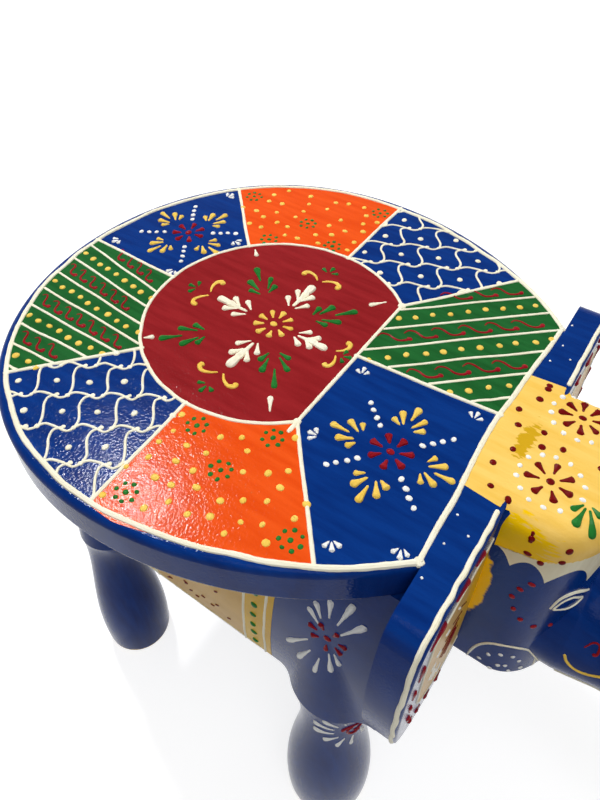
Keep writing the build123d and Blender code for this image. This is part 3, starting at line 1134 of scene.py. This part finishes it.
# %% Lay the cap and its fringe
plank_rows = 8
plank_yellow = 0.92
cap_back = plank_low.x - 4.6
fringe_rows = 4
on_cap = on_top("head", "ear_plank", "seat_board")
cap_grid = [[] for _ in range(plank_rows + cap_rows + 1)]
fringe_grid = [[] for _ in range(fringe_rows + 1)]
for rib in range(cap_ribs + 1):
    distance = (rib / cap_ribs * 2 - 1) * (half_length - 0.3)
    x, y = on_outline(distance)
    start = (head_low.x + 0.3, y * 0.97)
    behind = (cap_back, y * plank_yellow)
    for row in range(plank_rows):
        cap_grid[row].append(on_cap(*between(behind, start, row / plank_rows)))
    top_length = hypot(x - start[0], y - start[1])
    for row in range(cap_rows + 1):
        reach = row / cap_rows * (top_length + cap_edge(distance))
        if reach < top_length:
            cap_grid[plank_rows + row].append(head_touch(*between(start, (x, y), reach / top_length), 0))
        else:
            cap_grid[plank_rows + row].append(head_touch(x, y, reach - top_length))
    top, foot = cap_edge(distance) - 0.5, fringe_edge(distance)
    for row in range(fringe_rows + 1):
        fringe_grid[row].append(head_touch(x, y, top + (foot - top) * row / fringe_rows))
wrapped_coat("cap_coat", cap_grid, cap_yellow)
wrapped_coat("fringe_coat", fringe_grid, fringe_cream)

# %% Paint the cap's flowers
cap_dots = [
    (128, 36), (128, 33), (127, 25), (122, 14), (125, 5), (136, 7), (128, -9), (124, -20), (138, -1),
    (146, 3), (128, -32), (136, -34), (162, 2), (165, 24), (170, -8),
]
for x, y in cap_dots:
    dot(OXBLOOD, on_cap, *near(x, y), 3.2)
for side, petal_count in zip(sides.values(), (7, 8)):
    at = turned(on_cap, 147, side * 20.5 + 4.5, side * 12)
    petals(OXBLOOD, at, petal_count, 3.8, 10.6, 4.2)
    dot(OXBLOOD, at, 0, 0, 3.5)
    dot_ring(WHITE, at, 14, 13.6, 2.5, 8)
    fan(LEAF, turned(on_cap, 163, side * 17, 80 * side), ((2, 9), (3, 14), (3, 15), (2, 8)), 30, 3.6)
    at = round_head(side, ("head",))
    for angle, drop_down in ((72, 7), (71, 17), (64, 19), (55, 15), (54, 7), (30, 9), (12, 9)):
        dot(OXBLOOD, at, angle, drop_down, 3.3)
    stroke(OXBLOOD, at, [(72, 3.5), (72, 10)], [2.2, 2.6])
press_out("cap")

# %% [markdown]
# ## The face
# Eye, cheek and the arc of dots are drawn round the head in degrees and millimetres, the same on
# both sides. A lid is one tapering stroke, and the almond under it a closed one.

# %% Paint the face
lid = [(48, 56), (45.5, 48), (41, 44.8), (34, 46.5), (27, 51.5), (17, 60)]
lid_widths = [1.0, 1.7, 2.2, 2.1, 1.7, 1.1]
almond = [(46, 57), (42, 51.5), (36, 51), (29, 56), (22, 62.5), (28, 63.5), (36, 61.5), (46, 57)]
arc_middle, arc_reach = (42, 51), (27, 23)
oval_middle, oval_reach = (57, 128), (22, -32)
oval_dots_middle, oval_dots_reach = (58, 127), (20, -31)


def on_ring(middle, reach, degrees_round, size=1.0):
    """Point of a ring that may be wider than high, at an angle and a share of its size."""
    x, y = polar(size, degrees_round)
    return (middle[0] + reach[0] * x, middle[1] + reach[1] * y)


for side in sides.values():
    at = round_head(side)
    stroke(CREAM, at, lid, lid_widths)
    line(CREAM, at, almond, 1.2)
    for angle in range(-40, 93, 22):
        dot(CRIMSON, at, *near(*on_ring(arc_middle, arc_reach, angle), 0.6), 2.9)
    line(CREAM, at, [on_ring(oval_middle, oval_reach, angle) for angle in range(0, 181, 12)], 1.4)
    for ring, count in ((0.68, 6), (0.3, 4)):
        for step in range(count):
            angle = 15 + 150 * step / (count - 1)
            dot(WHITE, at, *near(*on_ring(oval_dots_middle, oval_dots_reach, angle, ring), 0.8), 2.3)
press_out("face")

# %% [markdown]
# ## The trunk
# The trunk bends, so flat drawing places do not fit it. Its middle line is known, and a drawing
# place on it takes a share of that line and an angle round it, where 0 is the outer side of the
# bend. A ring is then simply a line at one share through all angles.

# %% Paint the trunk
brow = head_high.x
trunk_middle = through(
    [(brow, 95), (brow + 30, 99), (brow + 56, 124), (brow + 62, 166), (brow + 68, 204), (brow + 82, 223),
     (brow + 100, 222)]
)


def on_trunk(side):
    """Drawing place on the trunk: percent of its length, and degrees round it towards one side."""

    def at(percent, angle):
        position = percent / 100 * (len(trunk_middle) - 1)
        index = min(int(position), len(trunk_middle) - 2)
        a, b = trunk_middle[index], trunk_middle[index + 1]
        ahead, down = between(a, b, position - index)
        length = hypot(b[0] - a[0], b[1] - a[1])
        outer = Vector((b[1] - a[1], 0, b[0] - a[0])) / length
        out = outer * cos(radians(angle)) + Vector((0, side * sin(radians(angle)), 0))
        return touch("trunk", spot(ahead, 0, down) + out * 60 * mm, -out)

    return at


swag_length = 11.5
swag_steps = 6
hook = [(-1.8, 62), (-0.6, 54), (0.8, 54), (1.2, 62), (0.2, 64)]
hook_widths = [0.7, 0.9, 1.1, 1.4, 1.9]
for side in sides.values():
    at = on_trunk(side)
    line(CREAM, at, [(2 + step * 4, 116) for step in range(15)], 1.5)
    for swag in range(5):
        start = 1 + swag * swag_length
        shares = [step / swag_steps for step in range(swag_steps + 1)]
        line(YELLOW, at, [(start + swag_length * s, 76 + 13 * sin(pi * s)) for s in shares], 1.6)
        stroke(CRIMSON, at, [(start + 5.8 + u, v) for u, v in hook], hook_widths)
for percent, paste in ((62, CREAM), (66, YELLOW), (84, YELLOW), (88, CREAM)):
    line(paste, on_trunk(1), [(percent, angle) for angle in range(0, 380, 18)], 1.2)
for step in range(12):
    dot(WHITE, on_trunk(1), 75, step * 30, 2.2)
for step in range(13):
    dot(YELLOW if step % 2 else WHITE, on_trunk(1), 6 + step * 4.2, 0, 2.4)
press_out("trunk")

# %% [markdown]
# ## The ears
# Both ears are one flat board, so their outline is read with rays that fan out from beside the
# head. A line at the edge, a band of drops, a thin line and an ochre field all use that outline,
# each moved inwards by its own inset.

# %% Paint the ears
ear_middle_drop = 62.0
plank_front = plank_high.x
ear_root = head_high.y + 0.5
field_inset = 18.0


def round_ear(side):
    """Drawing place on the rim of an ear: degrees up from level, and ahead of the seat's centre."""

    def at(angle, ahead):
        centre = spot(ahead, side * (ear_root + 4), ear_middle_drop)
        out = Vector((0, side * cos(radians(angle)), sin(radians(angle))))
        return touch("ear_plank", centre + out * far_off * mm, -out)

    return at


def ear_outline(side, inset, step=6):
    """Outline of an ear's front, moved inwards, from the top at the head round to the bottom."""
    points = []
    for angle in range(90, -91, -step):
        place, _ = round_ear(side)(angle, plank_front - 3)
        aside, up = polar(inset, angle)
        points.append((abs(place.y) / mm - aside, (seat_top - place.z) / mm + up))
    return points


def on_ear(side):
    """Drawing place on the front of an ear: millimetres out from the middle plane, and the drop."""
    return lambda out, drop_down: (spot(plank_front, side * out, drop_down), Vector((1, 0, 0)))


for name, side in sides.items():
    at = on_ear(side)
    field_edge = ear_outline(side, field_inset)
    closed = [(ear_root, field_edge[0][1]), *field_edge, (ear_root, field_edge[-1][1])]
    flat_coat(f"{name}_ear_coat", [closed], at, ochre)
    rim = [near(angle, plank_front - 2.0, 0.25) for angle in range(94, -91, -4)]
    line(CREAM, round_ear(side), rim, 2.2)
    line(CREAM, at, [near(*point, 0.25) for point in closed], 1.1)
    band = ear_outline(side, field_inset * 0.55, 3)
    for index in range(3, len(band) - 4, 5):
        drop(CRIMSON, at, band[index], band[index + 3], 3.0)
    for angle in range(52, -51, -17):
        for inner, outer, paste, width in ((14, 30, OXBLOOD, 0.9), (34, 40, WHITE, 1.6)):
            ends = [on_ring((ear_root + 5, ear_middle_drop), (r, -r), angle) for r in (inner, outer)]
            if all(inside(end, closed) for end in ends):
                line(paste, at, [near(*end, 0.6) for end in ends], width)
on_plank = on_top("ear_plank")
for side in sides.values():
    for y, x in ((52, 122.5), (66, 124), (83, 123), (58, 130)):
        dot(WHITE, on_plank, *near(x, side * y), 1.1)
press_out("ears")

# %% [markdown]
# ## The saddle cloth
# An ochre cloth is painted on the barrel between the legs. The side of the torso swells, so this is
# a wrapped coat: a grid of rays shot level at the wood. A yellow band with green dots between two
# cream lines borders it at the front and, as such cloths have it, at the back.

# %% Paint the saddle cloth
cloth_front, cloth_rear = 61.0, -57.0
cloth_top = 21.5
cloth_bottom = box_of("torso")[1].z - 0.6
cloth_pitch = 2.5
cloth_rows = 40
band_width = 18.0
cloth_slant = 0.085
slant_from = 75.0


def cloth_edge(edge_x, drop_down):
    """Where an edge of the cloth is at some drop; both edges run in a little towards the belly."""
    inwards = cloth_slant * (drop_down - slant_from)
    return edge_x - inwards if edge_x > 0 else edge_x + inwards


def cloth_grid(at, rear, front):
    """Grid of points on one side of the torso, between two edges."""
    columns = max(4, ceil((front - rear) / cloth_pitch))
    grid = []
    for row in range(cloth_rows + 1):
        drop_down = cloth_top + (cloth_bottom - cloth_top) * row / cloth_rows
        ends = ((cloth_edge(rear, drop_down), -drop_down), (cloth_edge(front, drop_down), -drop_down))
        grid.append([at(*between(*ends, column / columns)) for column in range(columns + 1)])
    return grid


for name, side in sides.items():
    at = beside("torso", spot(0, 0, 0), (0, side, 0), (1, 0, 0))
    inner = (cloth_rear + band_width, cloth_front - band_width)
    wrapped_coat(f"{name}_cloth_coat", cloth_grid(at, *inner), ochre)
    wrapped_coat(f"{name}_front_band_coat", cloth_grid(at, inner[1], cloth_front), saddle_yellow)
    wrapped_coat(f"{name}_rear_band_coat", cloth_grid(at, cloth_rear, inner[0]), saddle_yellow)
    for edge_x, inward in ((cloth_front, -1), (cloth_rear, 1)):
        for inset in (4.2, band_width):
            points = [(cloth_edge(edge_x + inward * inset, d), -d) for d in range(22, 158, 15)]
            foot = (cloth_edge(edge_x + inward * inset, cloth_bottom), -cloth_bottom)
            line(CREAM, at, [near(*point, 0.3) for point in points] + [foot], 1.8)
        for drop_down in range(30, 156, 13):
            middle = cloth_edge(edge_x + inward * band_width * 0.62, drop_down)
            dot(LEAF, at, *near(middle, -drop_down, 0.6), 4.2)
    foot = [near(x, -cloth_bottom + 1.2, 0.2) for x in range(int(cloth_rear) + 8, int(cloth_front) - 6, 8)]
    line(CREAM, at, foot, 1.4)
    for _ in range(44):
        x = hand.uniform(inner[0] + 8, inner[1] - 8)
        y = hand.uniform(-cloth_bottom + 5, -cloth_top - 4)
        slant = hand.uniform(-50, 50)
        ends = [(x, y), (x + cos(radians(slant)) * 3.6, y + sin(radians(slant)) * 3.6)]
        stroke(OXBLOOD, at, ends, [1.9, 1.5])
press_out("cloth")

# %% Paint the shoulders and the front legs
high_fan = ((9, 20), (14, 26), (18, 32), (17, 40), (12, 34))
low_fan = ((17, 39), (22, 44), (21, 37), (12, 28), (11, 20))
for name, side in sides.items():
    at = beside("torso", spot(91, side * 92.5, 78), (0, side, 0), (1, 0, 0))
    petals(CRIMSON, at, 7, 5.6, 11.0, 3.8, 12)
    dot(CRIMSON, at, 0, 0, 4.0)
    fan(WHITE, turned(at, 0, 0, 92), high_fan, -16, 3.2)
    fan(WHITE, turned(at, 0, 0, 264), low_fan, 15, 3.2)
    at = beside(f"front_{name}_leg", spot(109, side * 88, 172), (0.8, side * 0.6, 0), (0.6, -side * 0.8, 0))
    petals(WHITE, at, 15, 12, 22, 3.3)
    for turn in range(3):
        scroll = [polar(3 + 0.03 * a, a + 120 * turn) for a in range(0, 200, 25)]
        stroke(CRIMSON, at, scroll, [1.1 + 0.14 * i for i in range(len(scroll))])
press_out("legs")

# %% Paint the tail
tail_low, tail_high = box_of("tail")
tail_at = beside("tail", spot(tail_low.x, 0, 0), (-1, 0, 0), (0, -1, 0))
tail_top, tail_end = -tail_low.z, -tail_high.z
line(CREAM, tail_at, [(0, tail_top - 6 - 9 * step) for step in range(6)], 1.2)
for across in (-5, 0, 5):
    drop(CREAM, tail_at, (across, tail_end + 8), (across * 0.4, tail_end + 28), 2.4)
press_out("tail")

# %% [markdown]
# ## The wood itself
# What no coat or piping covers is the blue ground, brushed straight on the wood. The tail's pins are
# steel. The dowels stay bare, and so do the soles: a sole's faces look straight down, so they get the
# bare wood by face.

# %% Paint the wooden pieces
steel = enamel("steel", (0.55, 0.55, 0.57), (0.45, 0.45, 0.47), 0.32, 0.01, 0.02)
steel.node_tree.nodes["Principled BSDF"].inputs["Metallic"].default_value = 1.0
for name, node in frame["nodes"].items():
    materials = node.data.materials
    materials.clear()
    materials.append(bare if "dowel" in name else steel if "pins" in name else blue)
    if "leg" in name and "dowel" not in name:
        materials.append(bare)
        for face in node.data.polygons:
            if face.normal.z < -0.99:
                face.material_index = 1
print("wooden pieces painted:", len(frame["nodes"]))
